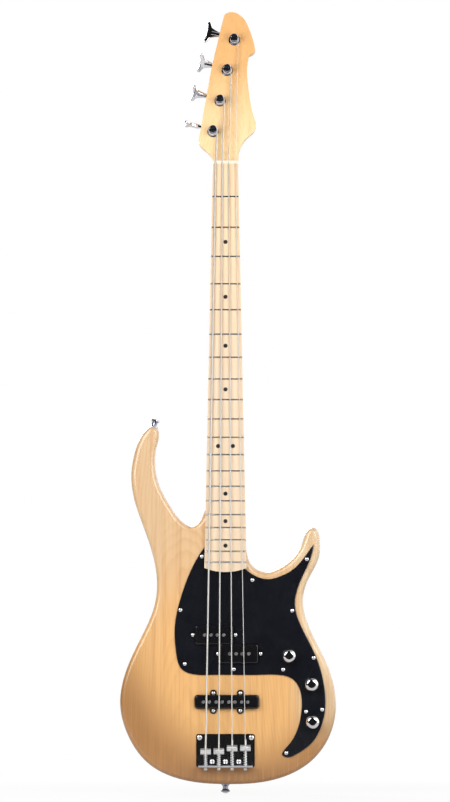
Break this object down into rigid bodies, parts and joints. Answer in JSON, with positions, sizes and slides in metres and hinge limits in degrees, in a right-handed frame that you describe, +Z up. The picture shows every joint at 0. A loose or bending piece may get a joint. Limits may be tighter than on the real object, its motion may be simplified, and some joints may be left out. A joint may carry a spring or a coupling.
{
  "type": "electric bass guitar",
  "caption": "Double-cutaway solid-body bass guitar with bolt-on neck, split and bar pickups, curved guard, adjustable bridge and geared tuners in line.",
  "frame": {"origin": "seat of the tail strap button: the body's tail end, on the string centre line and mid thickness", "axes": "+Z up the neck to the headstock, -Y out of the front face, +X to the treble side"},
  "size_m": [0.3207, 0.0767, 1.1625],
  "materials": {
    "body_wood": "clear gloss lacquer",
    "neck_wood": "clear satin lacquer",
    "board_wood": "clear satin lacquer",
    "guard_plastic": "gloss",
    "cover_plastic": "satin",
    "marker_plastic": "gloss",
    "nut_plastic": "satin",
    "coil_tape": "matt",
    "fret_wire": "polished",
    "string_wire": "wound",
    "bare_steel": "satin",
    "screw_chrome": "polished",
    "chrome": "polished"
  },
  "bodies": {
    "frame": {"body": "body_wood", "bridge_pickup_cover": "cover_plastic", "bridge_plate": "chrome", "bridge_screws": "screw_chrome", "fingerboard": "board_wood", "frets": "fret_wire", "intonation_springs": "bare_steel", "jack_plate": "chrome", "jack_screws": "screw_chrome", "neck": "neck_wood", "neck_plate": "chrome", "neck_screws": "screw_chrome", "nut": "nut_plastic", "output_jack": "chrome", "pickguard": "guard_plastic", "pickguard_screws": "screw_chrome", "pickup_coils": "coil_tape", "pickup_screws": "screw_chrome", "pole_pieces": "bare_steel", "position_markers": "marker_plastic", "potentiometers": "bare_steel", "split_pickup_covers": "cover_plastic", "strap_buttons": "chrome", "strap_screws": "screw_chrome", "string_a": "string_wire", "string_d": "string_wire", "string_e": "string_wire", "string_g": "string_wire", "truss_rod": "bare_steel", "tuner_bushings": "chrome", "tuner_housings": "chrome", "tuner_screws": "screw_chrome"},
    "key_e": {"tuner_button_e": "chrome", "worm_shaft_e": "chrome"},
    "post_e": {"string_post_e": "chrome"},
    "key_a": {"tuner_button_a": "chrome", "worm_shaft_a": "chrome"},
    "post_a": {"string_post_a": "chrome"},
    "key_d": {"tuner_button_d": "chrome", "worm_shaft_d": "chrome"},
    "post_d": {"string_post_d": "chrome"},
    "key_g": {"tuner_button_g": "chrome", "worm_shaft_g": "chrome"},
    "post_g": {"string_post_g": "chrome"},
    "split_volume": {"split_volume_knob": "chrome", "split_volume_shaft": "bare_steel"},
    "bridge_volume": {"bridge_volume_knob": "chrome", "bridge_volume_shaft": "bare_steel"},
    "tone": {"tone_knob": "chrome", "tone_shaft": "bare_steel"},
    "saddle_e": {"saddle_e": "chrome"},
    "adjuster_e": {"intonation_screw_e": "screw_chrome"},
    "saddle_a": {"saddle_a": "chrome"},
    "adjuster_a": {"intonation_screw_a": "screw_chrome"},
    "saddle_d": {"saddle_d": "chrome"},
    "adjuster_d": {"intonation_screw_d": "screw_chrome"},
    "saddle_g": {"saddle_g": "chrome"},
    "adjuster_g": {"intonation_screw_g": "screw_chrome"}
  },
  "joints": [
    {"name": "key_turn_e", "type": "hinge", "parent": "frame", "child": "key_e", "pos_m": [-0.01709, 0.00233, 0.9727], "axis": [0.9751, -0.0385, -0.2182], "continuous": true},
    {"name": "post_turn_e", "type": "hinge", "parent": "frame", "child": "post_e", "pos_m": [-0.0186, -0.01793, 0.96954], "axis": [0, 0.9848, -0.1736], "continuous": true},
    {"name": "key_turn_a", "type": "hinge", "parent": "frame", "child": "key_a", "pos_m": [-0.00657, 0.01037, 1.01832], "axis": [0.9751, -0.0385, -0.2182], "continuous": true},
    {"name": "post_turn_a", "type": "hinge", "parent": "frame", "child": "post_a", "pos_m": [-0.00808, -0.00989, 1.01515], "axis": [0, 0.9848, -0.1736], "continuous": true},
    {"name": "key_turn_d", "type": "hinge", "parent": "frame", "child": "key_d", "pos_m": [0.00395, 0.01841, 1.06393], "axis": [0.9751, -0.0385, -0.2182], "continuous": true},
    {"name": "post_turn_d", "type": "hinge", "parent": "frame", "child": "post_d", "pos_m": [0.00245, -0.00184, 1.06077], "axis": [0, 0.9848, -0.1736], "continuous": true},
    {"name": "key_turn_g", "type": "hinge", "parent": "frame", "child": "key_g", "pos_m": [0.01448, 0.02646, 1.10955], "axis": [0.9751, -0.0385, -0.2182], "continuous": true},
    {"name": "post_turn_g", "type": "hinge", "parent": "frame", "child": "post_g", "pos_m": [0.01297, 0.0062, 1.10639], "axis": [0, 0.9848, -0.1736], "continuous": true},
    {"name": "split_volume_turn", "type": "hinge", "parent": "frame", "child": "split_volume", "pos_m": [0.0946, -0.022, 0.191], "axis": [0, -1, 0], "range_deg": [-150, 150]},
    {"name": "bridge_volume_turn", "type": "hinge", "parent": "frame", "child": "bridge_volume", "pos_m": [0.128, -0.022, 0.1485], "axis": [0, -1, 0], "range_deg": [-150, 150]},
    {"name": "tone_turn", "type": "hinge", "parent": "frame", "child": "tone", "pos_m": [0.1293, -0.022, 0.0926], "axis": [0, -1, 0], "range_deg": [-150, 150]},
    {"name": "adjuster_turn_e", "type": "hinge", "parent": "frame", "child": "adjuster_e", "pos_m": [-0.02955, -0.02778, 0.0255], "axis": [0, 0, 1], "continuous": true},
    {"name": "saddle_slide_e", "type": "slide", "parent": "frame", "child": "saddle_e", "axis": [0, 0, 1], "range_m": [-0.005, 0.005], "deforming": ["string_e", "intonation_springs"]},
    {"name": "adjuster_turn_a", "type": "hinge", "parent": "frame", "child": "adjuster_a", "pos_m": [-0.00985, -0.02931, 0.0255], "axis": [0, 0, 1], "continuous": true},
    {"name": "saddle_slide_a", "type": "slide", "parent": "frame", "child": "saddle_a", "axis": [0, 0, 1], "range_m": [-0.005, 0.005], "deforming": ["string_a", "intonation_springs"]},
    {"name": "adjuster_turn_d", "type": "hinge", "parent": "frame", "child": "adjuster_d", "pos_m": [0.00985, -0.02931, 0.0255], "axis": [0, 0, 1], "continuous": true},
    {"name": "saddle_slide_d", "type": "slide", "parent": "frame", "child": "saddle_d", "axis": [0, 0, 1], "range_m": [-0.005, 0.005], "deforming": ["string_d", "intonation_springs"]},
    {"name": "adjuster_turn_g", "type": "hinge", "parent": "frame", "child": "adjuster_g", "pos_m": [0.02955, -0.02778, 0.0255], "axis": [0, 0, 1], "continuous": true},
    {"name": "saddle_slide_g", "type": "slide", "parent": "frame", "child": "saddle_g", "axis": [0, 0, 1], "range_m": [-0.005, 0.005], "deforming": ["string_g", "intonation_springs"]}
  ],
  "couplings": [
    {"joint": "post_turn_e", "follows": "key_turn_e", "ratio": -0.0625},
    {"joint": "post_turn_a", "follows": "key_turn_a", "ratio": -0.0625},
    {"joint": "post_turn_d", "follows": "key_turn_d", "ratio": -0.0625},
    {"joint": "post_turn_g", "follows": "key_turn_g", "ratio": -0.0625},
    {"joint": "adjuster_turn_e", "follows": "saddle_slide_e", "rad_per_m": -12566},
    {"joint": "adjuster_turn_a", "follows": "saddle_slide_a", "rad_per_m": -12566},
    {"joint": "adjuster_turn_d", "follows": "saddle_slide_d", "rad_per_m": -12566},
    {"joint": "adjuster_turn_g", "follows": "saddle_slide_g", "rad_per_m": -12566}
  ]
}
